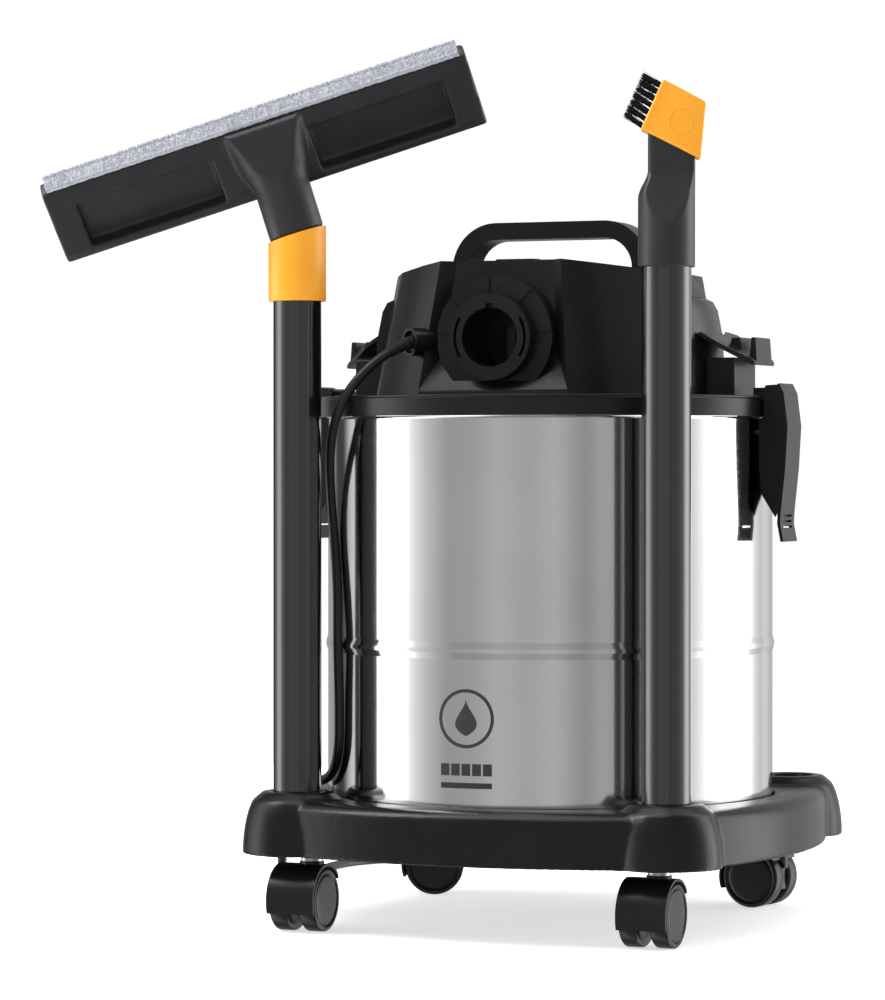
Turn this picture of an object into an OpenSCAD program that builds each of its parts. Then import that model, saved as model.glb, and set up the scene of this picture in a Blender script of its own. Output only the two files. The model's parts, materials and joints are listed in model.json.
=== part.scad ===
// Wet and dry shop vacuum: a steel drum on a four-caster dolly, a lift-off power head with two
// latches, and two wands with their tools parked in the dolly's corner sockets.
// The origin is on the floor under the drum's axis, the hose inlet faces -Y and Z is up.

/* [Drum] */
// Outer radius of the steel drum
drum_r = 165.5; // [160:0.5:168]
// Thickness of the drum's sheet
drum_sheet = 1; // [0.8:0.1:1.6]
// Height of the drum's floor above the ground
drum_z = 71; // [70.5:0.5:74]
// Height of the top of the rolled rim
rim_z = 376; // [374:0.5:377]
// Height of the middle of the pressed bead
bead_z = 206; // [180:1:240]

/* [Dolly] */
// Distance from the axis to the middle of each side wall
base_half = 197; // [190:1:200]
// Radius of the gently bowed side walls
wall_arc_r = 380; // [360:5:420]
// Height of the lower edge of the walls
base_z = 55; // [54:0.5:57]
// Height of the top of the walls
base_top = 95; // [92:1:98]
// Distance of each wand socket from the axis, along X and along Y
socket_xy = 142; // [138:1:146]
// Height of the top of the socket bosses
boss_top = 101; // [98:1:106]
// Radius of the bore of a wand socket
socket_r = 17.8; // [17.6:0.1:18.2]

/* [Casters] */
// Distance of each caster stem from the axis, along X and along Y
caster_xy = 134; // [130:1:138]
// Radius of a caster wheel
wheel_r = 23; // [20:0.5:23]
// Distance from the stem to the wheel axle
trail = 14; // [13.5:0.5:16]
// Length over both wheels
caster_w = 37; // [34:0.5:40]

/* [Head] */
// Outer radius of the flange ring
flange_r = 170.5; // [170:0.5:173]
// Height of the top of the flange deck
deck_z = 388; // [386:0.5:390]
// Height of the top of the motor cover
head_top = 486; // [478:1:495]
// Radius of the bore of the hose inlet and of the blower port
port_r = 21.35; // [19:0.05:22]
// Height of the centre of both ports
port_z = 429.5; // [426:0.5:432]
// Height of the top of the carry handle
handle_top = 519; // [512:1:530]

/* [Wands] */
// Outer radius of both wand tubes
wand_r = 17.5; // [17:0.1:17.5]
// Height of the top of the left tube's visible length
left_wand_top = 456.6; // [440:1:470]
// Height of the lower edge of the crevice tool's collar
right_wand_top = 476; // [460:1:480]
// Angle about Z that both tools are turned by
tool_turn = 21; // [0:1:45]
// Lean of the floor tool's neck from the vertical
neck_lean = 17.5; // [10:0.5:20]

/* [Cord] */
// Radius of the mains cord
cord_r = 3.5; // [3:0.1:3.6]

/* [Hidden] */

$fn = 64;
eps = 0.01;
black = [0.09, 0.09, 0.10];
charcoal = [0.16, 0.16, 0.18];
amber = [0.96, 0.62, 0.12];
steel = [0.75, 0.75, 0.76];
felt = [0.80, 0.81, 0.84];

// Sides, as the sign of X
left = -1;
right = 1;

// Corners as [sign of X, sign of Y], in the order fl, fr, br, bl, and the rest angle of each caster
corner = [[-1, -1], [1, -1], [1, 1], [-1, 1]];
caster_angle = [0, 0, -99, -69];
fl = 0;
fr = 1;
br = 2;
bl = 3;

// Dolly details
wall = 3.5;
shoulder = 10;
recess_r = 167;
recess_z = 70;
tray_under = 66.5;
ledge_z = 62.5;
ledge_r = 150;
boss_foot_r = 40;
boss_head_r = 25;
column_r = 22;
socket_floor = 64;
stem_r = 5.5;

// Caster details: heights and radii around the axle
axle_r = 3;
hood_in_r = wheel_r + 1.2;
hood_out_r = wheel_r + 3;
web_half = 3.3;
wheel_in = 4.2;
hood_lower_edge = 14;
pivot_boss_r = 9;
pivot_z = 49.3;
pin_r = 2.2;

// Head details
skirt_in_r = 168.6;
skirt_z = 373;
deck_under = 384;
duct_y = -84;
duct_r = 14;
duct_wall = 2;
cage_r = 62;
fan_r = 56;
port_face = 121;
plate_face = 112;
plate_back = 86;

// Latch details: the pivot's place and the half width
latch_pivot = [176, 391];
latch_pin_r = 2.5;
latch_half = 16.5;

// Tool details
tube_r_in = 16;
cuff_r = 21;
cuff_plane_z = 505;
spigot_r = 14;
sole_tilt = 45;
nozzle_len = 323;
nozzle_depth = 62;
nozzle_centre = [-5.6, 6, 66.3];
nozzle_roll = 0.8;
neck_r = 20.3;
crevice_r = 20;
blade_w = 33;
blade_t = 16;
blade_x = 3.5;
blade_top = 576;

// Cord route from the gland, over the flange and down between the drum and the left wand, over the
// dolly's left wall and back along the floor to the coil
cord_split = 6;
cord_path = [
    [-64.3, -112.3, 427], [-70, -120.5, 424.6], [-76.4, -129.7, 418.6], [-83.6, -136.2, 412],
    [-91.6, -140.4, 403.5], [-99.3, -141.2, 394.5], [-106.5, -139.2, 386], [-112.5, -136.1, 377],
    [-117.8, -131.7, 366], [-122.6, -126.1, 352], [-126.1, -119.9, 336], [-127.5, -115.1, 318],
    [-126.9, -113.5, 300], [-124.5, -114.8, 280], [-121.1, -118.4, 258], [-119, -121.1, 236],
    [-118.2, -123.1, 206], [-117.5, -122.3, 170], [-117.5, -122, 136], [-120.4, -119.2, 121],
    [-128.2, -111.5, 110], [-139, -101, 106], [-158, -78, 102.5], [-176, -57, 105],
    [-185.2, -51.5, 102.9], [-193, -46.9, 96.8], [-198.3, -43.8, 87.7], [-200.1, -42.7, 77],
    [-202.5, -38.5, 33], [-203.9, -34.8, 18.3], [-207.6, -24.9, 7.5], [-212.6, -11.2, 3.6],
    [-230, 40, 3.6], [-250, 105, 3.6], [-276, 180, 3.6], [-292, 250, 3.6], [-286, 306, 3.6],
    [-250, 348, 3.6], [-195, 362.5, 3.6], [-150, 363.8, 3.6]
];
coil_at = [-150, 420];
coil_mid_r = 45.5;
coil_half = 14.2;
coil_lift = 1.4;
coil_top = coil_lift + 2 * coil_half;
plug_turn = 30;

// ---------- shared shapes ----------

// Points of an arc from angle a0 to a1, in steps equal stretches
function arc(centre, r, a0, a1, steps) =
    [for (k = [0:steps]) let (a = a0 + (a1 - a0) * k / steps) centre + r * [cos(a), sin(a)]];

// A disc whose upper edge is broken by two bevels
module soft_disc(r, z0, z1, edge) {
    rotate_extrude($fn = 180)
        polygon(concat([[0, z0], [r, z0]], arc([r - edge, z1 - edge], edge, 0, 90, 3), [[0, z1]]));
}

module ring(r_in, r_out, z0, z1) {
    translate([0, 0, z0]) difference() {
        cylinder(r = r_out, h = z1 - z0);
        translate([0, 0, -1]) cylinder(r = r_in, h = z1 - z0 + 2);
    }
}

module at_corners(d) {
    for (c = corner) translate([c[0] * d, c[1] * d, 0]) children();
}

// Places children in the frame of the floor tool's neck
module at_neck() {
    translate([-socket_xy, -socket_xy, cuff_plane_z]) rotate([0, 0, tool_turn])
        rotate([0, -neck_lean, 0]) children();
}

// Places children in the frame of the floor tool's sole: X along it, Y to its front edge, Z out of it
module at_sole() {
    at_neck() translate(nozzle_centre) rotate([0, -nozzle_roll, 0]) rotate([90 + sole_tilt, 0, 0])
        mirror([0, 0, 1]) children();
}

// Places children on the right wand, with X across the crevice tool's blade
module at_right_wand() {
    translate([socket_xy, -socket_xy, 0]) rotate([0, 0, tool_turn]) children();
}

// ---------- dolly and drum ----------

// The dolly's outline as a solid: four bowed walls, moved in by inset
module base_outline(inset, z0, z1, edge) {
    intersection_for(side = [0:3]) rotate([0, 0, 90 * side])
        translate([0, base_half - wall_arc_r, 0]) soft_disc(wall_arc_r - inset, z0, z1, edge);
}

// A bell-shaped corner boss, grown by more
module bell(more) {
    steps = 7;
    rise = boss_top - base_z;
    side_line = [for (k = [0:steps]) let (t = k / steps)
        [more + boss_head_r + (boss_foot_r - boss_head_r) * sqrt(1 - t * t), base_z + rise * t]];
    rotate_extrude() polygon(concat([[0, base_z]], side_line, [[0, boss_top]]));
}

// The dolly's frame: four hollow walls around a round recess, with a ledge that carries the tray
module dolly_base() {
    color(black) difference() {
        base_outline(0, base_z, base_top, shoulder);
        translate([0, 0, tray_under]) cylinder(r = recess_r, h = 60, $fn = 180);
        translate([0, 0, base_z - 1]) cylinder(r = ledge_r, h = 60, $fn = 180);
        difference() {
            base_outline(wall, base_z - 5, base_top - wall, shoulder - wall);
            translate([0, 0, ledge_z]) cylinder(r = recess_r + wall, h = 60, $fn = 180);
        }
        at_corners(socket_xy) bell(0.05);
        at_corners(socket_xy) translate([0, 0, base_z - 1]) cylinder(r = boss_foot_r + 0.05, h = 1 + eps);
    }
}

// Four corner bosses, each with a socket for a wand above and a hole for a caster stem below
module wand_sockets() {
    color(black) difference() {
        at_corners(socket_xy) bell(0);
        translate([0, 0, tray_under]) cylinder(r = recess_r, h = 60, $fn = 180);
        difference() {
            at_corners(socket_xy) translate([0, 0, -wall]) bell(-wall);
            at_corners(socket_xy) translate([0, 0, base_z - 6]) cylinder(r = column_r, h = 60);
            translate([0, 0, ledge_z]) cylinder(r = recess_r + wall, h = 60, $fn = 180);
        }
        at_corners(socket_xy) translate([0, 0, socket_floor]) cylinder(r = socket_r, h = 60);
        at_corners(caster_xy) translate([0, 0, base_z - 1]) cylinder(r = stem_r + 0.02, h = 9);
    }
}

// The round plate that the drum stands on
module drum_tray() {
    color(charcoal) difference() {
        translate([0, 0, tray_under + 0.02]) cylinder(r = recess_r - 0.4, h = recess_z - tray_under - 0.02, $fn = 180);
        for (turn = [0, 90, 180, 270]) rotate([0, 0, turn]) translate([120, 0, 50]) cylinder(r = 2.6, h = 30);
    }
}

// Four screws that hold the drum down on the dolly
module dolly_screws() {
    color(steel) for (turn = [0, 90, 180, 270]) rotate([0, 0, turn]) translate([120, 0, 0]) {
        translate([0, 0, recess_z - 6.9]) cylinder(r = 5, h = 2.8);
        translate([0, 0, recess_z - 5]) cylinder(r = 2.5, h = 10);
    }
}

// The drum's sheet from its floor's centre to its rim, offset inwards by inset
function drum_line(inset) = let (r = drum_r - inset, corner_r = 12, bead = 1.3) concat(
    [[0, drum_z + inset]],
    arc([drum_r - corner_r, drum_z + corner_r], corner_r - inset, -90, 0, 5),
    [[r, bead_z - 6], [r + bead, bead_z - 1.5], [r + bead, bead_z + 1.5], [r, bead_z + 6], [r, rim_z - 5]]);

module tank_drum() {
    rim_r = 2.2;
    inner = drum_line(drum_sheet);
    roll = arc([drum_r, rim_z - rim_r], rim_r, -80, 230, 12);
    color(steel) difference() {
        rotate_extrude($fn = 180)
            polygon(concat(drum_line(0), roll, [for (k = [len(inner) - 1:-1:0]) inner[k]]));
        for (turn = [0, 90, 180, 270]) rotate([0, 0, turn]) translate([120, 0, 60]) cylinder(r = 2.6, h = 30);
    }
}

// ---------- casters ----------

// Places children in the frame of one caster: stem on the Z axis, axle along X, wheels towards -Y
module at_caster(c) {
    translate([corner[c][0] * caster_xy, corner[c][1] * caster_xy, 0]) rotate([0, 0, caster_angle[c]]) children();
}

module along_axle(x0, x1, r) {
    translate([x0, -trail, wheel_r]) rotate([0, 90, 0]) cylinder(r = r, h = x1 - x0);
}

module caster_stems() {
    color(steel) at_corners(caster_xy) {
        translate([0, 0, pivot_z - 4]) cylinder(r = stem_r, h = 17.6);
        translate([0, 0, pivot_z + 0.3]) cylinder(r = 8, h = base_z - pivot_z - 0.3);
        translate([0, 0, 34]) cylinder(r = pin_r, h = 14);
    }
}

module caster_hood(c) {
    color(black) at_caster(c) difference() {
        union() {
            intersection() {
                along_axle(-caster_w / 2, caster_w / 2, hood_out_r);
                translate([-30, -trail - 40, hood_lower_edge]) cube([60, 60, 60]);
            }
            translate([0, 0, 30]) cylinder(r = pivot_boss_r, h = pivot_z - 30);
        }
        for (side = [left, right]) scale_x(side) along_axle(web_half, caster_w, hood_in_r);
        translate([0, 0, pivot_z - 4.3]) cylinder(r = stem_r + 0.06, h = 20);
        translate([0, 0, 33.7]) cylinder(r = pin_r + 0.06, h = 20);
        along_axle(-10, 10, axle_r);
    }
}

module scale_x(side) {
    if (side < 0) mirror([1, 0, 0]) children();
    else children();
}

module caster_axle(c) {
    color(steel) at_caster(c) along_axle(-caster_w / 2 + 2.2, caster_w / 2 - 2.2, axle_r);
}

module caster_wheel(c, side) {
    half = caster_w / 2;
    bore = axle_r + 0.06;
    color(black) at_caster(c) translate([0, -trail, wheel_r]) scale_x(side) rotate([0, 90, 0]) rotate_extrude() {
        translate([bore, wheel_in]) square([4, half - wheel_in - 2]);
        translate([bore, half - 4.5]) square([wheel_r - bore - 2, 2.4]);
        translate([0, half - 2]) square([wheel_r - 2, 2]);
        translate([bore, half - 2.4]) square([wheel_r - bore - 2, 0.6]);
        polygon([[wheel_r - 3.6, wheel_in], [wheel_r - 2.4, wheel_in], [wheel_r - 0.6, wheel_in + 1.6],
            [wheel_r, wheel_in + 4], [wheel_r, half - 4], [wheel_r - 0.6, half - 1.8], [wheel_r - 2, half],
            [wheel_r - 3.6, half]]);
    }
}

// ---------- power head ----------

module head_flange() {
    color(black) difference() {
        union() {
            rotate_extrude($fn = 180) {
                translate([skirt_in_r, skirt_z]) square([flange_r - skirt_in_r, deck_under - skirt_z + eps]);
                polygon([[48, deck_under], [flange_r, deck_under], [flange_r, deck_z - 2.4],
                    [flange_r + 0.8, deck_z - 1.6], [flange_r + 0.8, deck_z - 0.6], [flange_r, deck_z],
                    [48, deck_z]]);
            }
            for (side = [left, right]) scale_x(side) latch_bracket();
        }
        translate([0, duct_y, deck_under - 1]) cylinder(r = duct_r + duct_wall + 0.1, h = 10);
        for (side = [left, right]) scale_x(side) translate([latch_pivot[0], 20, latch_pivot[1]])
            rotate([90, 0, 0]) cylinder(r = latch_pin_r + 0.06, h = 40);
        for (turn = [45:90:315]) rotate([0, 0, turn]) translate([90, 0, deck_under - 1]) cylinder(r = 2.1, h = 10);
        for (turn = [45:90:315]) rotate([0, 0, turn]) translate([56, 0, deck_under - 1]) cylinder(r = 2.1, h = 10);
    }
}

module latch_bracket() {
    half = 9;
    translate([latch_pivot[0], half, latch_pivot[1]]) rotate([90, 0, 0]) cylinder(r = 4.6, h = 2 * half);
    translate([162, -half, deck_z - eps]) cube([14, 2 * half, 6]);
    translate([162, -half, deck_under + 1]) cube([14, 2 * half, 3.2]);
}

// A soft ring between the drum's rim and the deck
module tank_gasket() {
    color(charcoal) ring(160, 168.3, rim_z + 0.3, deck_under);
}

module motor_plate() {
    color(steel) difference() {
        ring(20, 62, deck_under - 2.5, deck_under);
        for (turn = [45:90:315]) rotate([0, 0, turn]) translate([56, 0, 370]) cylinder(r = 2.1, h = 20);
    }
}

// The fan's drum-shaped casing, open at its eye below and at the motor above
module fan_housing() {
    z1 = deck_z + 28;
    color(charcoal) difference() {
        ring(12, 61, deck_z, z1);
        translate([0, 0, deck_z + 2]) cylinder(r = 59, h = 24);
        translate([0, 0, deck_z - 1]) cylinder(r = 28, h = 5);
        for (turn = [0:30:330]) rotate([0, 0, turn]) translate([50, 0, z1 - 4]) cylinder(r = 4, h = 6);
    }
}

module motor() {
    z0 = deck_z + 28;
    color(steel) difference() {
        union() {
            translate([0, 0, z0]) cylinder(r = 42, h = 40);
            translate([0, 0, z0 + 40]) cylinder(r = 18, h = 10);
            for (turn = [0:90:270]) rotate([0, 0, turn + 15]) translate([40, -6, z0]) cube([18, 12, 5]);
        }
        translate([0, 0, z0 - 1]) cylinder(r = 5.2, h = 46);
    }
}

module motor_shaft() {
    color(steel) translate([0, 0, deck_z + 5]) cylinder(r = 5.14, h = 62);
}

module impeller() {
    z0 = deck_z + 5;
    vanes = 9;
    color(steel) difference() {
        union() {
            ring(25, fan_r, z0, z0 + 1.2);
            ring(5.14, fan_r, z0 + 16, z0 + 17.2);
            ring(5.14, 11, z0 + 4, z0 + 16.1);
            for (k = [0:vanes - 1]) rotate([0, 0, k * 360 / vanes]) translate([24, -12, z0 + 1.1])
                rotate([0, 0, 25]) cube([30, 1.2, 15]);
        }
        difference() {
            translate([0, 0, z0 - 1]) cylinder(r = 80, h = 20);
            translate([0, 0, z0 - 2]) cylinder(r = fan_r, h = 22);
        }
    }
}

// The cover's drafted block, with a bowed shoulder at each corner; t thins it for the inside
module cover_block(t) {
    z_top = head_top - t;
    hull() for (s = [-1, 1], v = [-1, 1]) {
        cover_corner(s * (58 - t), v * (116 - t), deck_z);
        cover_corner(s * (76.5 - t), v * (103.5 - t), deck_z);
        cover_corner(s * (106 - t), v * (76 - t), deck_z);
        cover_corner(s * (119 - t), v * 52, deck_z);
        cover_corner(s * (46.5 - t), v * (100 - t), z_top - 1);
        cover_corner(s * (66 - t), v * (86.5 - t), z_top - 3.4);
        cover_corner(s * (92.5 - t), v * (62.5 - t), z_top - 6.9);
        cover_corner(s * (105 - t), v * 43, z_top - 9);
    }
}

module cover_corner(x, y, z) {
    translate([x - (x > 0 ? 0.1 : 0), y - (y > 0 ? 0.1 : 0), z]) cube([0.1, 0.1, 1]);
}

// The cover's lower round tier, which shows at both sides only
module cover_tier(t) {
    intersection() {
        rotate_extrude($fn = 128) polygon([[0, deck_z], [130 - t, deck_z], [129 - t, 431], [125 - t, 452],
            [121.5 - t, 458.5 - t / 2], [116 - t, 461 - t], [0, 461 - t]]);
        hull() for (s = [-1, 1], v = [-1, 1]) {
            cover_corner(s * 140, v * (52 - t), deck_z);
            cover_corner(s * 140, v * (43 - t), 477);
        }
    }
}

// The niche around a port: splayed sides, a floor 8 mm deep and a sloping apron below
module port_niche(more) {
    hull() for (s = [-1, 1]) {
        cover_corner(s * (61 + more), -119, 385.5 - more);
        cover_corner(s * (49.2 + more), -102, 499);
        cover_corner(s * (45 + more), -102 + more, 417 - more);
        cover_corner(s * (36 + more), -89 + more, 499);
    }
}

module cover_solid() {
    difference() {
        union() {
            cover_block(0);
            cover_tier(0);
        }
        for (v = [0, 180]) rotate([0, 0, v]) port_niche(0);
    }
}

module head_shell() {
    t = 3;
    color(black) difference() {
        cover_solid();
        difference() {
            union() {
                cover_block(t);
                cover_tier(t);
            }
            for (v = [0, 180]) rotate([0, 0, v]) port_niche(t);
            for (turn = [45:90:315]) rotate([0, 0, turn]) translate([90, 0, deck_z - 1]) cylinder(r = 6, h = 120);
        }
        translate([0, 0, deck_z - 10]) cylinder(r = 140, h = 10);
        for (turn = [45:90:315]) rotate([0, 0, turn]) translate([90, 0, deck_z - 1]) cylinder(r = 1.9, h = 16);
        translate([0, 0, port_z]) rotate([90, 0, 0]) translate([0, 0, -150]) cylinder(r = 25.1, h = 300);
        at_gland() translate([0, 0, -30]) cylinder(r = 8.1, h = 60);
        translate([0, -52, head_top - 10]) cube([23, 32, 30], center = true);
    }
}

// Screws that clamp the cover and the motor plate on the deck
module head_screws() {
    color(steel) for (turn = [45:90:315]) rotate([0, 0, turn]) {
        translate([90, 0, deck_under - 2.4]) cylinder(r = 4, h = 2.4);
        translate([90, 0, deck_under - 1]) cylinder(r = 1.85, h = 18);
        translate([56, 0, deck_under - 4.9]) cylinder(r = 4, h = 2.4);
        translate([56, 0, deck_under - 3]) cylinder(r = 2.05, h = 6.9);
    }
}

// A tube with a wide collar and a round plate behind it, as both ports have
module port_tube(inner_y) {
    translate([0, -inner_y, port_z]) rotate([90, 0, 0]) {
        cylinder(r = port_r + 3.65, h = plate_face - inner_y);
        translate([0, 0, 107 - inner_y]) cylinder(r = 31, h = port_face - 107);
        translate([0, 0, plate_back - inner_y]) cylinder(r = 44.5, h = plate_face - plate_back);
    }
}

module port_bore(inner_y) {
    translate([0, -inner_y, port_z]) rotate([90, 0, 0]) cylinder(r = port_r, h = 80);
}

// The part of a port's plate that stands proud of the cover, with five shallow channels
module port_on_cover(inner_y) {
    difference() {
        port_tube(inner_y);
        cover_solid();
        translate([-60, -150, deck_z - 20]) cube([120, 300, 29]);
        translate([-60, -92, deck_z]) cube([120, 200, 100]);
        translate([0, -plate_face, port_z]) rotate([90, 0, 0]) for (turn = [0:45:180]) rotate([0, 0, turn])
            translate([31.2, -4, -1.2]) cube([16, 8, 3]);
    }
    intersection() {
        port_tube(inner_y);
        translate([0, 0, port_z]) rotate([90, 0, 0]) cylinder(r = port_r + 3.65, h = 130);
    }
}

module inlet_collar() {
    y_in = duct_y + duct_r;
    color(black) difference() {
        union() {
            port_on_cover(-y_in);
            translate([0, duct_y, deck_under]) cylinder(r = duct_r + duct_wall, h = port_z - deck_under + 18);
        }
        translate([0, 0.1, 0]) port_bore(-y_in + 3);
        translate([0, duct_y, deck_under - 1]) cylinder(r = duct_r, h = port_z - deck_under + 10);
        for (side = [left, right]) bayonet_slot(side);
        translate([-3, -port_face - 1, port_z + port_r - 1]) cube([6, 6, 4]);
    }
}

// A curved lock slot in the face of the inlet's collar
module bayonet_slot(side) {
    translate([0, -port_face + 6, port_z]) rotate([90, 0, 0]) intersection() {
        ring(26, 28, 0, 10);
        translate([side * 27 - 6, -14, 0]) cube([12, 28, 12]);
    }
}

module blower_port() {
    color(black) mirror([0, 1, 0]) difference() {
        port_on_cover(plate_back);
        port_bore(plate_back - 6);
    }
}

module carry_handle() {
    half_w = 78;
    bar = 12.7;
    arch = 35;
    foot = head_top - 12;
    color(black) difference() {
        translate([0, 26, 0]) rotate([90, 0, 0]) linear_extrude(28) difference() {
            handle_arch(half_w, handle_top, arch, foot);
            handle_arch(half_w - bar, handle_top - bar, arch - bar, foot - 1);
        }
        cover_block(0);
    }
}

module handle_arch(half_w, top, arch, foot) {
    translate([-half_w, foot]) square([2 * half_w, max(0.1, top - foot - arch)]);
    translate([-half_w + arch, foot]) square([2 * (half_w - arch), top - foot]);
    for (s = [-1, 1]) translate([s * (half_w - arch), top - arch]) intersection() {
        circle(arch);
        translate([-arch, foot - top + arch]) square([2 * arch, 2 * arch]);
    }
}

module switch_bezel() {
    color(black) translate([0, -52, 0]) difference() {
        union() {
            translate([-15, -20, head_top]) cube([30, 40, 2]);
            translate([-11.4, -15.9, head_top - 16]) cube([22.8, 31.8, 16 + eps]);
        }
        translate([-8.5, -13, head_top - 14]) cube([17, 26, 20]);
        translate([-12, 0, head_top - 4]) rotate([0, 90, 0]) cylinder(r = 1.56, h = 24);
    }
}

// Rocker of the power switch, on its own cross pin
module switch_rocker() {
    color(amber) translate([0, -52, head_top - 4]) rotate([8, 0, 0]) {
        rotate([0, 90, 0]) translate([0, 0, -10.5]) cylinder(r = 1.5, h = 21);
        translate([-8.1, 0, 0]) rotate([90, 0, 90]) linear_extrude(16.2)
            polygon([[-10.5, -2], [10.5, -2], [11.4, 6], [0, 4.6], [-11.4, 6]]);
    }
}

module at_gland() {
    translate([-62, -109, 427]) rotate([90, 0, -35]) children();
}

module cord_gland() {
    color(black) difference() {
        union() {
            at_gland() translate([0, 0, -14]) cylinder(r = 8, h = 16);
            difference() {
                at_gland() translate([0, 0, -14]) cylinder(r = 10.3, h = 20);
                cover_solid();
                at_gland() translate([0, 0, -40]) cylinder(r = 20, h = 28);
            }
        }
        at_gland() translate([0, 0, 3]) cylinder(r = 8.3, h = 5);
        at_gland() translate([0, 0, -15]) cylinder(r = cord_r + 0.05, h = 40);
    }
}

// A cord hook on one side of the head: a block on the deck and a sloping plate with two horns
module cord_wing(side) {
    color(black) scale_x(side) difference() {
        union() {
            translate([124, -18, deck_z]) cube([26.6, 49, 28]);
            intersection() {
                translate([0, 70, 0]) rotate([90, 0, 0]) linear_extrude(140)
                    polygon([[120, 434], [128, 431], [161, 410.5], [163, 412], [161.5, 414.8], [128, 434.5], [120, 437]]);
                linear_extrude(500) polygon([[120, -30], [140, -27], [163, -7], [163, 39], [140, 56], [120, 58]]);
            }
            for (horn = [[141.5, 151], [156.6, 162.6]]) translate([0, 34, 0]) rotate([90, 0, 0])
                linear_extrude(36) polygon([[horn[0], 433 - (horn[0] - 128) * 0.62], [horn[0] + 1.5, 431],
                    [horn[1] - 1.5, 431], [horn[1], 431 - (horn[1] - 128) * 0.55]]);
        }
        translate([0, 0, deck_z - 5]) cylinder(r = 130.1, h = 60, $fn = 128);
    }
}

// A latch: a bowed lever with side walls, a hook bar below the flange, and its hinge pin
module latch(side) {
    color(black) scale_x(side) {
        difference() {
            union() {
                translate([0, latch_half, 0]) rotate([90, 0, 0]) linear_extrude(2 * latch_half)
                    polygon([[181.6, 395.4], [184, 397], [187.6, 390], [190.6, 366], [188.8, 335], [185.5, 304],
                        [185, 295], [187.5, 282], [185.2, 282], [182.6, 295], [183, 304], [186.2, 335],
                        [188, 366], [185, 389.5]]);
                for (y = [-latch_half, latch_half - 2]) translate([0, y + 2, 0]) rotate([90, 0, 0])
                    linear_extrude(2) polygon([[172.4, 387], [171.6, 391.6], [174, 395.6], [181.7, 396],
                        [185.3, 389.5], [188.2, 366], [186.4, 335], [183.2, 304], [181, 300], [171, 316],
                        [168.8, 336], [168.8, 370], [172.4, 373]]);
            }
            for (z = [292, 296, 300]) translate([183, -10, z]) cube([6, 20, 1.6]);
        }
        translate([168.8, -latch_half + 1, 360]) cube([19, 2 * latch_half - 2, 3]);
        translate([latch_pivot[0], latch_half, latch_pivot[1]]) rotate([90, 0, 0])
            cylinder(r = latch_pin_r, h = 2 * latch_half);
    }
}

// ---------- filter and float ----------

module filter_cage() {
    z0 = 262;
    ribs = 12;
    color(charcoal) difference() {
        union() {
            ring(cage_r - 4, cage_r, z0, deck_under - 2.6);
            ring(cage_r - 4, cage_r + 6, deck_under - 5.2, deck_under - 2.6);
            translate([0, 0, z0]) cylinder(r = cage_r, h = 3);
            ring(26.5, 30, z0, z0 + 70);
        }
        for (k = [0:ribs - 1]) rotate([0, 0, k * 360 / ribs]) translate([34, -11, z0 + 12]) cube([40, 22, 84]);
        translate([0, 0, z0 - 1]) cylinder(r = 20, h = 6);
        for (turn = [45:90:315]) rotate([0, 0, turn]) translate([56, 0, 370]) cylinder(r = 5, h = 20);
    }
}

module filter_sleeve() {
    color(felt) ring(cage_r + 0.1, cage_r + 6, 258, 372);
}

// Ring that clamps the sleeve on the cage's upper edge
module filter_clamp() {
    color(charcoal) ring(cage_r + 6.1, cage_r + 8, 362, 370);
}

// The float that shuts off the air when the drum is full
module float_cup() {
    color(amber) translate([0, 0, 265.5]) difference() {
        cylinder(r = 26.2, h = 34);
        translate([0, 0, -1]) cylinder(r = 24.2, h = 33);
    }
}

// ---------- wands and tools ----------

module wand_tube(x, top) {
    color(black) translate([x, -socket_xy, 0]) ring(tube_r_in, wand_r, socket_floor + 0.3, top);
}

// The cuff that bends the left wand into the floor tool's neck
module elbow_cuff() {
    color(amber) difference() {
        union() {
            difference() {
                translate([-socket_xy, -socket_xy, left_wand_top]) cylinder(r = cuff_r, h = 70);
                at_neck() translate([-60, -60, 0]) cube(120);
            }
            at_neck() translate([0, 0, -4]) cylinder(r = spigot_r, h = 22);
        }
        translate([-socket_xy, -socket_xy, left_wand_top - 1]) cylinder(r = wand_r + 0.02, h = 33);
        translate([-socket_xy, -socket_xy, left_wand_top]) cylinder(r = 11.5, h = 42);
        at_neck() translate([0, 0, -12]) cylinder(r = 11.5, h = 40);
    }
}

// The neck that widens into the casing like a trumpet, flattened in front
module nozzle_neck() {
    flat_z = 41;
    intersection() {
        at_neck() difference() {
            rotate_extrude($fn = 96) polygon([[0, 0.3], [neck_r, 0.3], [neck_r, 38], [22, 45], [25.5, 52],
                [29.3, 64], [35.7, 80], [37, 92], [0, 92]]);
            translate([0, -neck_r, flat_z]) rotate([6, 0, 0]) translate([-50, -50, -1]) cube([100, 50, 80]);
        }
        at_sole() translate([-50, -90, -90]) cube([100, 90 + nozzle_depth / 2 - 0.5, 98.5]);
    }
}

// The floor tool's casing, with pockets on its back and a slot through its sole
module nozzle_body() {
    depth = nozzle_depth / 2;
    color(charcoal) difference() {
        union() {
            at_sole() rotate([90, 0, 90]) linear_extrude(nozzle_len, center = true)
                polygon([[depth, -3], [depth - 1, -7], [depth - 4, -8.5], [10 - depth, -18.5], [4 - depth, -18],
                    [-depth, -14], [-depth, 5], [3 - depth, 9], [depth - 3, 9], [depth, 6]]);
            nozzle_neck();
        }
        at_sole() for (s = [-1, 1]) translate([s * 88.5, -2.7, -16]) cube([103, 36.4, 18], center = true);
        at_neck() translate([0, 0, -1]) cylinder(r = spigot_r + 0.08, h = 19.6);
        at_neck() translate([0, 0, -1]) cylinder(r = 11, h = 72);
        at_sole() translate([0, 4, 9]) cube([260, 16, 16], center = true);
    }
}

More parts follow.
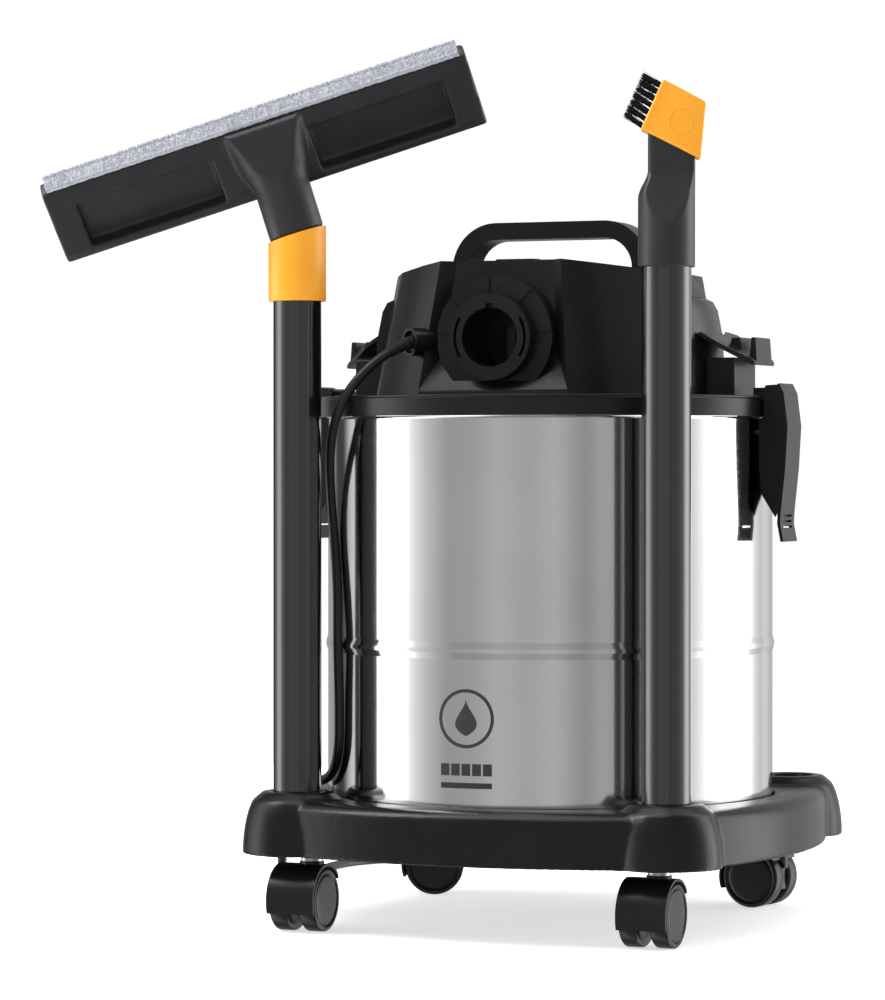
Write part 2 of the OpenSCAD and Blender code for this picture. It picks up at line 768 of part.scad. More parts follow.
// The wear plate screwed on the sole
module nozzle_sole() {
    color(charcoal) at_sole() translate([0, 0, 9.05]) difference() {
        translate([-nozzle_len / 2 + 6, -24, 0]) cube([nozzle_len - 12, 46, 2.4]);
        translate([-130, -4, -1]) cube([260, 16, 5]);
    }
}

// Two strips of bristles: a wide one along the front side and a low one under the rear edge
module nozzle_bristles() {
    color(felt) at_sole() {
        translate([-nozzle_len / 2 + 4, nozzle_depth / 2 + 0.05, -6.5]) cube([nozzle_len - 8, 3.6, 16.5]);
        translate([-nozzle_len / 2 + 4, -30, 9.05]) cube([nozzle_len - 8, 5, 5]);
    }
}

// The crevice tool: a collar over the right wand that flattens into a slim blade
module crevice_tool() {
    color(charcoal) at_right_wand() difference() {
        union() {
            translate([0, 0, right_wand_top]) cylinder(r = crevice_r, h = 46);
            hull() {
                translate([0, 0, 514]) cylinder(r = crevice_r, h = 1, $fn = 48);
                translate([blade_x, 0, 536]) cube([blade_w, blade_t, 1], center = true);
            }
            translate([blade_x - blade_w / 2, -blade_t / 2, 536]) cube([blade_w, blade_t, blade_top - 536]);
        }
        translate([0, 0, right_wand_top - 1]) cylinder(r = wand_r + 0.08, h = 31.5);
        hull() {
            translate([0, 0, 506]) cylinder(r = 14, h = 1, $fn = 32);
            translate([blade_x, 0, 536]) cube([blade_w - 5, blade_t - 5, 1], center = true);
        }
        translate([blade_x - blade_w / 2 + 2.5, -blade_t / 2 + 2.5, 535]) cube([blade_w - 5, blade_t - 5, 60]);
    }
}

// The dusting brush's head: a slanted block that sleeves over the blade's end
module brush_head() {
    half_t = 11.5;
    color(amber) at_right_wand() difference() {
        translate([0, half_t, 0]) rotate([90, 0, 0]) linear_extrude(2 * half_t)
            polygon([[-2.7, 606.9], [27.3, 590.7], [23.5, 550.7], [-18.3, 571.9]]);
        translate([blade_x - blade_w / 2 - 0.3, -blade_t / 2 - 0.3, 540]) cube([blade_w + 0.6, blade_t + 0.6, 36.4]);
    }
}

module brush_bristles() {
    color(black) at_right_wand() translate([0, 9, 0]) rotate([90, 0, 0]) linear_extrude(18)
        polygon([[-3.3, 607.9], [-18.9, 572.9], [-33, 583.4], [-18.2, 613.6]]);
}

// ---------- cord ----------

function unit(v) = v / norm(v);
function path_dir(p, i) = unit(p[min(i + 1, len(p) - 1)] - p[max(i - 1, 0)]);
function path_side(d) = unit(cross(d, abs(d[2]) > 0.9 ? [0, 1, 0] : [0, 0, 1]));
function carried(p, i) = i == 0 ? path_side(path_dir(p, 0))
    : let (d = path_dir(p, i), u = carried(p, i - 1)) unit(u - (u * d) * d);

// A round tube swept along the points of a path
module cord_tube(path) {
    sides = 8;
    rings = len(path);
    points = [for (i = [0:rings - 1]) let (d = path_dir(path, i), u = carried(path, i), v = cross(d, u))
        for (k = [0:sides - 1]) path[i] + cord_r * (cos(360 * k / sides) * u + sin(360 * k / sides) * v)];
    faces = [for (i = [0:rings - 2]) for (k = [0:sides - 1]) let (n = (k + 1) % sides, a = i * sides)
        [a + k, a + k + sides, a + n + sides, a + n]];
    first = [for (k = [0:sides - 1]) k];
    last = [for (k = [sides - 1:-1:0]) (rings - 1) * sides + k];
    polyhedron(points, concat([first], faces, [last]));
}

module cord_upper() {
    color(black) cord_tube([for (i = [0:cord_split]) cord_path[i]]);
}

module cord_lower() {
    gap = 1;
    first = cord_path[cord_split] + gap * unit(cord_path[cord_split + 1] - cord_path[cord_split]);
    color(black) cord_tube(concat([first], [for (i = [cord_split + 1:len(cord_path) - 1]) cord_path[i]]));
}

module cord_coil() {
    color(black) translate([coil_at[0], coil_at[1], coil_lift]) rotate_extrude() translate([coil_mid_r - coil_half, 0])
        square([2 * coil_half, 2 * coil_half]);
}

// A strap round the bundle of turns
module cord_tie() {
    strap = 1;
    color(charcoal) translate([coil_at[0], coil_at[1], 0]) rotate([0, 0, 200])
        translate([coil_mid_r, 0, coil_lift + coil_half]) difference() {
            cube([2 * (coil_half + strap) + 1.2, 10, 2 * (coil_half + strap)], center = true);
            cube([2 * coil_half + 1.2, 11, 2 * coil_half], center = true);
        }
}

module at_plug() {
    translate([coil_at[0], coil_at[1], coil_top]) rotate([0, 0, plug_turn]) translate([coil_mid_r, -12, 7.6])
        rotate([-90, 0, 0]) children();
}

module plug_body() {
    color(black) at_plug() {
        translate([0, 0, -20]) cylinder(r1 = 4.6, r2 = 6.2, h = 20.1);
        linear_extrude(26) square([26, 15], center = true);
    }
}

module plug_pins() {
    color(steel) at_plug() for (s = [-1, 1]) translate([s * 9.5, 0, 26]) cylinder(r = 2.4, h = 19);
}

// ---------- parts ----------

dolly_base();
wand_sockets();
drum_tray();
dolly_screws();
tank_drum();
caster_stems();
caster_hood(fl);  // caster_hood_fl
caster_hood(fr);  // caster_hood_fr
caster_hood(br);  // caster_hood_br
caster_hood(bl);  // caster_hood_bl
caster_axle(fl);  // caster_axle_fl
caster_axle(fr);  // caster_axle_fr
caster_axle(br);  // caster_axle_br
caster_axle(bl);  // caster_axle_bl
caster_wheel(fl, left);  // wheel_fl_left
caster_wheel(fr, left);  // wheel_fr_left
caster_wheel(br, left);  // wheel_br_left
caster_wheel(bl, left);  // wheel_bl_left
caster_wheel(fl, right);  // wheel_fl_right
caster_wheel(fr, right);  // wheel_fr_right
caster_wheel(br, right);  // wheel_br_right
caster_wheel(bl, right);  // wheel_bl_right
head_flange();
tank_gasket();
motor_plate();
fan_housing();
motor();
motor_shaft();
impeller();
head_shell();
head_screws();
inlet_collar();
blower_port();
carry_handle();
switch_bezel();
switch_rocker();
cord_gland();
cord_wing(left);  // cord_wing_left
cord_wing(right);  // cord_wing_right
latch(left);  // latch_left
latch(right);  // latch_right
filter_cage();
filter_sleeve();
filter_clamp();
float_cup();
wand_tube(-socket_xy, left_wand_top + 31);  // wand_tube_left
elbow_cuff();
nozzle_body();
nozzle_sole();
nozzle_bristles();
wand_tube(socket_xy, right_wand_top + 29);  // wand_tube_right
crevice_tool();
brush_head();
brush_bristles();
cord_upper();
cord_lower();
cord_coil();
cord_tie();
plug_body();
plug_pins();
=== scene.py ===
import json
import math
import random

import bmesh
import bpy
from mathutils import Matrix, Vector


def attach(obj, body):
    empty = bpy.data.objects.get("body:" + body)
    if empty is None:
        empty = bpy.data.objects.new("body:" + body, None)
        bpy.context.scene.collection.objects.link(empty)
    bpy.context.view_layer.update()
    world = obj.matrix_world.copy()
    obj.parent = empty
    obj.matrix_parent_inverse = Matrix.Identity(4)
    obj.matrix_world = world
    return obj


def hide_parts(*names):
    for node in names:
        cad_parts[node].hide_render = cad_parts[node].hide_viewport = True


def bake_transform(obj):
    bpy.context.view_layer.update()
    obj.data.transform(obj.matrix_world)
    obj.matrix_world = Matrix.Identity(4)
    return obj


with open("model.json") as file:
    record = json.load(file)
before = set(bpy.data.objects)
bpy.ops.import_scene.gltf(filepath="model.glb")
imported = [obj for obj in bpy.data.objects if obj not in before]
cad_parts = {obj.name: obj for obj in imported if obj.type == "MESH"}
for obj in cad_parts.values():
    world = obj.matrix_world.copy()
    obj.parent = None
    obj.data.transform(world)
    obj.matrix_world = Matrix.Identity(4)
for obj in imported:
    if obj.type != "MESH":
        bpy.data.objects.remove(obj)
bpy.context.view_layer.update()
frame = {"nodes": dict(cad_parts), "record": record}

MM = 0.001
NODES = frame["nodes"]

# ---------------------------------------------------------------- camera

TURN = math.radians(21.1)          # the camera stands this far to the right of the front
DISTANCE, EYE = 2.985, 0.3376      # from the drum's axis, and above the floor
YAW, PITCH = math.radians(1.54), math.radians(0.5)
LENS, SENSOR = 144.0, 36.0         # mm


def make_camera():
    data = bpy.data.cameras.new("camera")
    data.lens, data.sensor_width = LENS, SENSOR
    camera = bpy.data.objects.new("camera", data)
    bpy.context.scene.collection.objects.link(camera)
    camera.location = (math.sin(TURN) * DISTANCE, -math.cos(TURN) * DISTANCE, EYE)
    heading = TURN + YAW
    level = math.cos(PITCH)
    ahead = Vector((-math.sin(heading) * level, math.cos(heading) * level, -math.sin(PITCH)))
    camera.rotation_mode = "QUATERNION"
    camera.rotation_quaternion = ahead.to_track_quat("-Z", "Y")
    bpy.context.scene.camera = camera


make_camera()


# ---------------------------------------------------------------- materials

class Look:
    """A procedural material: a Principled shader and the nodes that feed it."""

    def __init__(self, name, roughness=0.5, metallic=0.0, specular=0.5):
        self.material = bpy.data.materials.new(name)
        self.material.use_nodes = True
        self.tree = self.material.node_tree
        self.shader = self.tree.nodes["Principled BSDF"]
        self.set("Roughness", roughness)
        self.set("Metallic", metallic)
        self.set("Specular IOR Level", specular)
        self.position = self.tree.nodes.new("ShaderNodeTexCoord").outputs["Object"]

    def set(self, socket, value):
        self.shader.inputs[socket].default_value = value

    def noise(self, scale, detail=2.0, stretch=(1, 1, 1)):
        """Noise over the surface, with about scale waves to the metre."""
        mapping = self.tree.nodes.new("ShaderNodeMapping")
        mapping.inputs["Scale"].default_value = stretch
        noise = self.tree.nodes.new("ShaderNodeTexNoise")
        noise.inputs["Scale"].default_value = scale
        noise.inputs["Detail"].default_value = detail
        self.tree.links.new(self.position, mapping.inputs["Vector"])
        self.tree.links.new(mapping.outputs["Vector"], noise.inputs["Vector"])
        return noise.outputs["Fac"]

    def colour(self, source, *stops):
        """The base colour runs through stops, as (position, colour), by source."""
        ramp = self.tree.nodes.new("ShaderNodeValToRGB")
        elements = ramp.color_ramp.elements
        while len(elements) < len(stops):
            elements.new(0.5)
        for element, (position, value) in zip(elements, stops):
            element.position, element.color = position, (*value, 1.0)
        self.tree.links.new(source, ramp.inputs["Fac"])
        self.tree.links.new(ramp.outputs["Color"], self.shader.inputs["Base Color"])

    def vary(self, socket, source, low, high):
        spread = self.tree.nodes.new("ShaderNodeMapRange")
        spread.inputs["From Min"].default_value, spread.inputs["From Max"].default_value = 0.3, 0.7
        spread.inputs["To Min"].default_value, spread.inputs["To Max"].default_value = low, high
        self.tree.links.new(source, spread.inputs["Value"])
        self.tree.links.new(spread.outputs["Result"], self.shader.inputs[socket])

    def bump(self, source, height):
        bump = self.tree.nodes.new("ShaderNodeBump")
        bump.inputs["Distance"].default_value = height
        self.tree.links.new(source, bump.inputs["Height"])
        if self.shader.inputs["Normal"].is_linked:
            self.tree.links.new(self.shader.inputs["Normal"].links[0].from_socket, bump.inputs["Normal"])
        self.tree.links.new(bump.outputs["Normal"], self.shader.inputs["Normal"])


def tint(colour, k):
    return tuple(min(1.0, c * k) for c in colour)


def plastic(name, colour, roughness, grain=900.0, grain_height=0.00004, specular=0.5, spread=0.12):
    """Moulded plastic: fine grain, faint cloudy colour and a finish that varies a little."""
    look = Look(name, roughness, specular=specular)
    look.colour(look.noise(30.0, 5.0), (0.3, tint(colour, 1 - spread)), (0.7, tint(colour, 1 + spread)))
    look.vary("Roughness", look.noise(18.0, 4.0), roughness - 0.04, roughness + 0.06)
    look.bump(look.noise(grain, 3.0), grain_height)
    return look.material


def steel(name, colour, roughness, brush_height):
    """Sheet steel with a fine horizontal brush."""
    look = Look(name, roughness, metallic=1.0)
    fine = look.noise(260.0, 4.0, stretch=(0.05, 0.05, 6.0))
    look.colour(look.noise(7.0, 3.0), (0.3, tint(colour, 0.96)), (0.7, tint(colour, 1.03)))
    look.vary("Roughness", fine, roughness - 0.03, roughness + 0.04)
    look.bump(fine, brush_height)
    return look.material


def fibre(name, colour, scale, spread=0.35):
    look = Look(name, 0.85, specular=0.2)
    look.colour(look.noise(scale, 4.0), (0.25, tint(colour, 1 - spread)), (0.75, tint(colour, 1 + spread)))
    look.bump(look.noise(scale * 2, 3.0), 0.0003)
    return look.material


BLACK = plastic("satin_black", (0.008, 0.008, 0.010), 0.27, specular=0.24)
BASE_BLACK = plastic("base_black", (0.006, 0.006, 0.008), 0.25, specular=0.22)
GLOSS = plastic("gloss_black", (0.004, 0.004, 0.005), 0.13, grain=40.0, grain_height=0.00001, specular=1.0)
CHARCOAL = plastic("charcoal", (0.022, 0.022, 0.025), 0.38, grain=1200.0, specular=0.35)
AMBER = plastic("amber", (0.94, 0.385, 0.020), 0.32, spread=0.04)
RUBBER = plastic("rubber", (0.012, 0.012, 0.013), 0.6, specular=0.3)
CORD = plastic("cord_sheath", (0.008, 0.008, 0.009), 0.34, grain=500.0, specular=0.4)
ZINC = steel("zinc", (0.55, 0.56, 0.58), 0.28, 0.00001)
STEEL = steel("stainless", (0.66, 0.65, 0.645), 0.10, 0.000004)
MOTOR = steel("motor_metal", (0.45, 0.46, 0.48), 0.4, 0.00003)
PIN = steel("plug_pin", (0.75, 0.66, 0.48), 0.22, 0.00001)
FELT = fibre("felt", (0.44, 0.455, 0.51), 900.0)
CLOTH = fibre("filter_cloth", (0.72, 0.72, 0.70), 600.0, 0.15)
BRISTLE = fibre("bristle_black", (0.012, 0.012, 0.014), 500.0)
PRINT = plastic("printed_mark", (0.022, 0.021, 0.021), 0.45, grain=400.0, grain_height=0.00001)

BY_SLOT = {"black_plastic": BLACK, "gloss_black": GLOSS, "charcoal_plastic": CHARCOAL,
    "amber_plastic": AMBER, "stainless": STEEL, "zinc_steel": ZINC, "motor_metal": MOTOR, "felt": FELT,
    "filter_cloth": CLOTH, "rubber": RUBBER, "bristle_black": BRISTLE, "cord_black": CORD, "plug_pin": PIN}
for part in frame["record"]["subparts"]:
    node = NODES[part["node"]]
    node.data.materials.clear()
    node.data.materials.append(BY_SLOT[part["material_slot"]])


# ---------------------------------------------------------------- mesh tools

def add_mesh(name, verts, faces, body, material, replaces=(), smooth=True):
    """A mesh piece in metres, riding on body, with its material and the CAD nodes that it stands for."""
    mesh = bpy.data.meshes.new(name)
    mesh.from_pydata([tuple(v) for v in verts], [], [tuple(f) for f in faces])
    mesh.materials.append(material)
    mesh.shade_smooth() if smooth else mesh.shade_flat()
    piece = bpy.data.objects.new(name, mesh)
    bpy.context.scene.collection.objects.link(piece)
    if body:
        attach(piece, body)
    if replaces:
        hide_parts(*replaces)
    return piece


def stacked_faces(rings, sides):
    """Faces between rings of sides points each, with a cap on both ends."""
    faces = []
    for i in range(rings - 1):
        for k in range(sides):
            n = (k + 1) % sides
            faces.append((i * sides + k, i * sides + n, (i + 1) * sides + n, (i + 1) * sides + k))
    last = (rings - 1) * sides
    return faces + [tuple(reversed(range(sides))), tuple(range(last, last + sides))]


def turned_faces(steps, count):
    """Faces of a closed profile of count points that is repeated steps times around an axis."""
    faces = []
    for k in range(steps):
        n = (k + 1) % steps
        for i in range(count):
            j = (i + 1) % count
            faces.append((k * count + i, n * count + i, n * count + j, k * count + j))
    return faces


def tube_mesh(path, radii, sides):
    """A closed tube along path, with a radius for each of its points."""
    verts = []
    side = None
    for i, p in enumerate(path):
        ahead = (path[min(i + 1, len(path) - 1)] - path[max(i - 1, 0)]).normalized()
        if side is None:
            side = ahead.orthogonal()
        side = (side - side.dot(ahead) * ahead).normalized()
        up = ahead.cross(side)
        for k in range(sides):
            angle = 2 * math.pi * k / sides
            verts.append(p + radii[i] * (math.cos(angle) * side + math.sin(angle) * up))
    return verts, stacked_faces(len(path), sides)


def lathe_mesh(profile, steps, place):
    """A closed profile of (radius, height) in mm, turned about Z and put in place."""
    verts = []
    for k in range(steps):
        angle = 2 * math.pi * k / steps
        for r, h in profile:
            verts.append(place @ Vector((r * MM * math.cos(angle), r * MM * math.sin(angle), h * MM)))
    return verts, turned_faces(steps, len(profile))


def smooth_curve(points, spacing):
    """Points every spacing along a smooth curve through the given points."""
    padded = [2 * points[0] - points[1], *points, 2 * points[-1] - points[-2]]
    fine, steps = [], 24
    for a, b, c, d in zip(padded, padded[1:], padded[2:], padded[3:]):
        square, cube = 2 * a - 5 * b + 4 * c - d, 3 * b - a - 3 * c + d
        for k in range(steps):
            t = k / steps
            fine.append(0.5 * (2 * b + (c - a) * t + square * t**2 + cube * t**3))
    fine.append(points[-1])
    even, walked = [fine[0]], 0.0
    for p, q in zip(fine, fine[1:]):
        step = (q - p).length
        while walked + step >= spacing:
            p = p + (q - p) * ((spacing - walked) / step)
            even.append(p)
            step, walked = (q - p).length, 0.0
        walked += step
    even.append(points[-1])
    return even


# ---------------------------------------------------------------- cord

CORD_D = 7.0
CORD_SIDES = 14
CORD_STEP = 2.6                    # between the points of the finished cord
SMOOTHING = 36                     # passes over the stretch before the coil
ROUTE = [(-64.3, -112.3, 427), (-70, -120.5, 424.6), (-76.4, -129.7, 418.6), (-83.6, -136.2, 412),
    (-91.6, -140.4, 403.5), (-99.3, -141.2, 394.5), (-106.5, -139.2, 386), (-112.5, -136.1, 377),
    (-117.8, -131.7, 366), (-122.6, -126.1, 352), (-126.1, -119.9, 336), (-127.5, -115.1, 318),
    (-126.9, -113.5, 300), (-124.5, -114.8, 280), (-121.1, -118.4, 258), (-119, -121.1, 236),
    (-118.2, -123.1, 206), (-117.5, -122.3, 170), (-117.5, -122, 136), (-120.4, -119.2, 121),
    (-128.2, -111.5, 110), (-139, -101, 106), (-158, -78, 102.5), (-176, -57, 105),
    (-185.2, -51.5, 102.9), (-193, -46.9, 96.8), (-198.3, -43.8, 87.7), (-200.1, -42.7, 77),
    (-202.5, -38.5, 33), (-203.9, -34.8, 18.3), (-207.6, -24.9, 7.5), (-212.6, -11.2, 3.6),
    (-230, 40, 3.6), (-250, 105, 3.6), (-276, 180, 3.6), (-292, 250, 3.6), (-286, 306, 3.6),
    (-250, 348, 3.6), (-195, 362.5, 3.6), (-150, 363.8, 3.6)]
COIL_CENTRE = Vector((-150, 420, 0))
COIL_PITCH = 7.1
COIL_LAYERS = 4
COIL_RADII = [56.2 - COIL_PITCH * k for k in range(4)]
COIL_BOTTOM = 4.9
COIL_TURNS = 14
TURN_STEPS = 30
LEAD_LENGTH = 1040.0
PLUG_FRAME = Matrix.Translation(COIL_CENTRE) @ Matrix.Rotation(math.radians(30), 4, "Z")
GLAND_OUT = Vector((-0.574, -0.819, 0))


def coil_points():
    """The turns of the coil, from its outside at the bottom, layer by layer."""
    rings = []
    for layer in range(COIL_LAYERS):
        row = COIL_RADII if layer % 2 == 0 else COIL_RADII[::-1]
        rings += [(r, COIL_BOTTOM + COIL_PITCH * layer) for r in row]
    points, early, last = [], 5, COIL_TURNS - 1
    for k in range(1, COIL_TURNS * TURN_STEPS + 1 - early):
        turn, part = divmod(k / TURN_STEPS, 1)
        r0, z0 = rings[min(int(turn), last)]
        r1, z1 = rings[min(int(turn) + 1, last)]
        ease = max(0.0, (part - 0.4) / 0.6)
        ease = ease * ease * (3 - 2 * ease)
        a = 2 * math.pi * part - math.pi / 2
        r = r0 + (r1 - r0) * ease
        points.append(COIL_CENTRE + Vector((r * math.cos(a), r * math.sin(a), z0 + (z1 - z0) * ease)))
    return points


def rise_to_plug(start):
    """From the end of the last turn up over the coil to the plug's tail."""
    end = PLUG_FRAME @ Vector((45.5, -32, 37.4))
    out = start - COIL_CENTRE
    leave, arrive = Vector((-out.y, out.x, 0)).normalized(), PLUG_FRAME.to_3x3() @ Vector((0, 1, 0))
    a, b = start + 90 * leave, end - 50 * arrive
    steps = 12
    return [(1 - t) ** 3 * start + 3 * (1 - t) ** 2 * t * a + 3 * (1 - t) * t * t * b + t ** 3 * end
        for t in [k / steps for k in range(1, steps + 1)]]


def make_cord():
    points = [Vector(p) for p in ROUTE] + coil_points()
    path = smooth_curve([MM * p for p in points + rise_to_plug(points[-1])], CORD_STEP * MM)
    lead = round(LEAD_LENGTH / CORD_STEP)
    for _ in range(SMOOTHING):
        path = [path[0], path[1]] + [(a + 2 * b + c) / 4 if k < lead else b
            for k, (a, b, c) in enumerate(zip(path[1:], path[2:], path[3:]))] + [path[-1]]
    verts, faces = tube_mesh(path, [CORD_D / 2 * MM] * len(path), CORD_SIDES)
    piece = add_mesh("cord", verts, faces, None, CORD,
        ("cord_upper", "cord_lower", "cord_coil"))
    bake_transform(piece)
    add_strain_relief(path)


def add_strain_relief(path):
    """A ribbed rubber sleeve that tapers from the gland onto the cord's first points."""
    sleeve = [path[0] - 16 * MM * GLAND_OUT, path[0] - 6 * MM * GLAND_OUT, *path[:9]]
    radii = []
    for k in range(len(sleeve)):
        taper = 4.9 - 1.1 * k / (len(sleeve) - 1)
        radii.append((taper + (0.35 if k % 2 == 0 and k > 1 else 0.0)) * MM)
    fine, wide = [], []
    for k in range(len(sleeve) - 1):
        for t in (0.0, 0.25, 0.5, 0.75):
            fine.append(sleeve[k].lerp(sleeve[k + 1], t))
            wide.append(radii[k] + (radii[k + 1] - radii[k]) * t)
    verts, faces = tube_mesh(fine, wide, 20)
    add_mesh("strain_relief", verts, faces, "head", RUBBER)


make_cord()


# ---------------------------------------------------------------- floor and light

FLOOR_GLOW = 0.62
BACKDROP = 1.05                    # the white that the camera sees
FADE = 0.35                        # how much darker the studio is straight up and down


def make_floor():
    bpy.ops.mesh.primitive_plane_add(size=2.6, location=(0, 0, 0))
    floor = bpy.context.object
    floor.name = "floor"
    floor.visible_glossy = False
    look = Look("pale_floor", 0.7, specular=0.2)
    look.colour(look.noise(2.0), (0.3, (0.84, 0.84, 0.84)), (0.7, (0.87, 0.87, 0.87)))
    look.set("Emission Color", (1.0, 1.0, 1.0, 1.0))
    look.set("Emission Strength", FLOOR_GLOW)
    floor.data.materials.append(look.material)


# The studio around the object: degrees from the front to the right, and the brightness there
STUDIO = [(-180, 0.6), (-150, 0.42), (-131, 0.42), (-122, 0.06), (-112, 0.06), (-105, 0.7), (-92, 1.2),
    (-80, 3.4), (-65, 3.4), (-55, 1.25), (-45, 0.75), (-33, 0.46), (-18, 0.50), (-6, 0.62), (10, 0.54),
    (24, 0.62), (34, 0.46), (40, 0.40), (47, 0.52), (60, 0.45), (80, 0.6), (97, 0.85), (107, 1.5),
    (118, 4.2), (138, 4.2), (150, 1.2), (160, 0.7), (168, 0.9), (180, 0.6)]


def make_studio():
    world = bpy.data.worlds.new("studio")
    bpy.context.scene.world = world
    world.use_nodes = True
    tree = world.node_tree
    background = tree.nodes["Background"]
    direction = tree.nodes.new("ShaderNodeTexCoord").outputs["Generated"]
    split = tree.nodes.new("ShaderNodeSeparateXYZ")
    tree.links.new(direction, split.inputs[0])

    def math_node(operation, a, b=None):
        n = tree.nodes.new("ShaderNodeMath")
        n.operation = operation
        for socket, value in zip(n.inputs, (a, b)):
            if isinstance(value, (int, float)):
                socket.default_value = value
            elif value is not None:
                tree.links.new(value, socket)
        return n.outputs[0]

    back = math_node("MULTIPLY", split.outputs["Y"], -1.0)
    angle = math_node("ARCTAN2", split.outputs["X"], back)
    turn = math_node("ADD", math_node("DIVIDE", angle, 2 * math.pi), 0.5)
    ramp = tree.nodes.new("ShaderNodeValToRGB")
    elements = ramp.color_ramp.elements
    while len(elements) < len(STUDIO):
        elements.new(0.5)
    for element, (degrees, level) in zip(elements, STUDIO):
        element.position, element.color = degrees / 360 + 0.5, (level, level, level, 1.0)
    tree.links.new(turn, ramp.inputs["Fac"])
    fade = math_node("SUBTRACT", 1.0, math_node("MULTIPLY", math_node("ABSOLUTE", split.outputs["Z"]), FADE))
    level = math_node("MULTIPLY", ramp.outputs["Color"], fade)
    seen = tree.nodes.new("ShaderNodeLightPath").outputs["Is Camera Ray"]
    white = tree.nodes.new("ShaderNodeMix")
    white.data_type = "FLOAT"
    white.inputs["B"].default_value = BACKDROP
    tree.links.new(seen, white.inputs["Factor"])
    tree.links.new(level, white.inputs["A"])
    tree.links.new(white.outputs[0], background.inputs["Strength"])
    background.inputs["Color"].default_value = (1.0, 0.995, 0.99, 1.0)


DRUM_MIDDLE = Vector((0, 0, 0.3))


def area_light(name, azimuth, elevation, distance, size, power):
    """A soft panel that looks at the drum. Azimuth is measured from the front, to the right."""
    data = bpy.data.lights.new(name, "AREA")
    data.shape, data.size, data.size_y, data.energy = "RECTANGLE", size[0], size[1], power
    light = bpy.data.objects.new(name, data)
    bpy.context.scene.collection.objects.link(light)
    a, e = math.radians(azimuth), math.radians(elevation)
    away = Vector((math.sin(a) * math.cos(e), -math.cos(a) * math.cos(e), math.sin(e)))
    light.location = DRUM_MIDDLE + distance * away
    light.rotation_mode = "QUATERNION"
    light.rotation_quaternion = (-away).to_track_quat("-Z", "Y")


make_floor()
make_studio()
area_light("top_soft", -30, 70, 2.4, (1.8, 1.8), 30)
area_light("key", -55, 42, 2.2, (0.9, 0.9), 22)
bpy.context.scene.view_settings.view_transform = "Standard"


# ---------------------------------------------------------------- softened CAD pieces

def soften(name, nodes, voxel, smoothing, material, body):
    """The given CAD nodes joined and remeshed as one moulding with soft edges. It stands for them."""
    bm = bmesh.new()
    for node in nodes:
        bm.from_mesh(NODES[node].data)
    mesh = bpy.data.meshes.new(name)
    bm.to_mesh(mesh)
    bm.free()
    piece = bpy.data.objects.new(name, mesh)
    bpy.context.scene.collection.objects.link(piece)
    remesh = piece.modifiers.new("remesh", "REMESH")
    remesh.mode, remesh.voxel_size, remesh.use_smooth_shade = "VOXEL", voxel * MM, True
    smooth = piece.modifiers.new("smooth", "SMOOTH")
    smooth.factor, smooth.iterations = 0.5, smoothing
    bpy.context.view_layer.update()
    done = bpy.data.meshes.new_from_object(piece.evaluated_get(bpy.context.evaluated_depsgraph_get()))
    piece.modifiers.clear()
    piece.data = done
    done.name = name
    done.materials.clear()
    done.materials.append(material)
    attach(piece, body)
    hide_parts(*nodes)


def ease_edges(node, width):
    """Rounds the sharp edges of a CAD node with modifiers, which leave its mesh alone."""
    segments, angle = 3, 30.0
    piece = NODES[node]
    weld = piece.modifiers.new("weld", "WELD")
    weld.merge_threshold = 0.01 * MM
    bevel = piece.modifiers.new("bevel", "BEVEL")
    bevel.width, bevel.segments, bevel.limit_method = width * MM, segments, "ANGLE"
    bevel.angle_limit = math.radians(angle)
    bevel.harden_normals = True
    normals = piece.modifiers.new("normals", "WEIGHTED_NORMAL")
    normals.keep_sharp = False


CORNERS = ("fl", "fr", "br", "bl")
EDGES = {"head_shell": 2.0, "inlet_collar": 0.7, "blower_port": 0.7, "carry_handle": 4.2, "cord_gland": 0.8,
    "cord_wing_left": 1.2, "cord_wing_right": 1.2, "latch_left": 0.9, "latch_right": 0.9,
    "head_flange": 0.5, "elbow_cuff": 0.8, "nozzle_sole": 0.6, "switch_bezel": 0.7, "switch_rocker": 0.6,
    "plug_body": 2.0, "plug_pins": 0.6, "cord_tie": 0.4}
for node, width in EDGES.items():
    ease_edges(node, width)
for corner in CORNERS:
    ease_edges("caster_hood_" + corner, 0.9)

soften("dolly_moulding", ("dolly_base", "wand_sockets"), 1.6, 11, BASE_BLACK, "base")


# ---------------------------------------------------------------- floor nozzle

WAND = 0.142                       # the wands' axes, from the drum's in X and in Y
WAND_TURN = math.radians(21)


def rotation(degrees, axis):
    return Matrix.Rotation(math.radians(degrees), 4, axis)


NECK = Matrix.Translation((-WAND, -WAND, 0.505)) @ Matrix.Rotation(WAND_TURN, 4, "Z") @ rotation(-17.5, "Y")
SOLE = NECK @ Matrix.Translation((-0.0056, 0.006, 0.0663)) @ rotation(-0.8, "Y") @ rotation(135, "X") \
    @ Matrix.Diagonal((1, 1, -1, 1))

soften("nozzle_casing", ["nozzle_body"], 1.3, 14, CHARCOAL, "floor_nozzle")


def bristles(name, roots, radius, body, material, replaces=()):
    """Strands as thin tapering prisms. Roots are (point, tip) pairs in metres."""
    verts, faces = [], []
    for root, tip in roots:
        ahead = (tip - root).normalized()
        side = ahead.orthogonal().normalized()
        up = ahead.cross(side)
        base = len(verts)
        for p, r in ((root, radius), (tip, radius * 0.5)):
            for k in range(3):
                angle = 2 * math.pi * k / 3
                verts.append(p + r * (math.cos(angle) * side + math.sin(angle) * up))
        for k in range(3):
            n = (k + 1) % 3
            faces.append((base + k, base + n, base + 3 + n, base + 3 + k))
        faces.append((base + 3, base + 4, base + 5))
    return add_mesh(name, verts, faces, body, material, replaces, smooth=False)


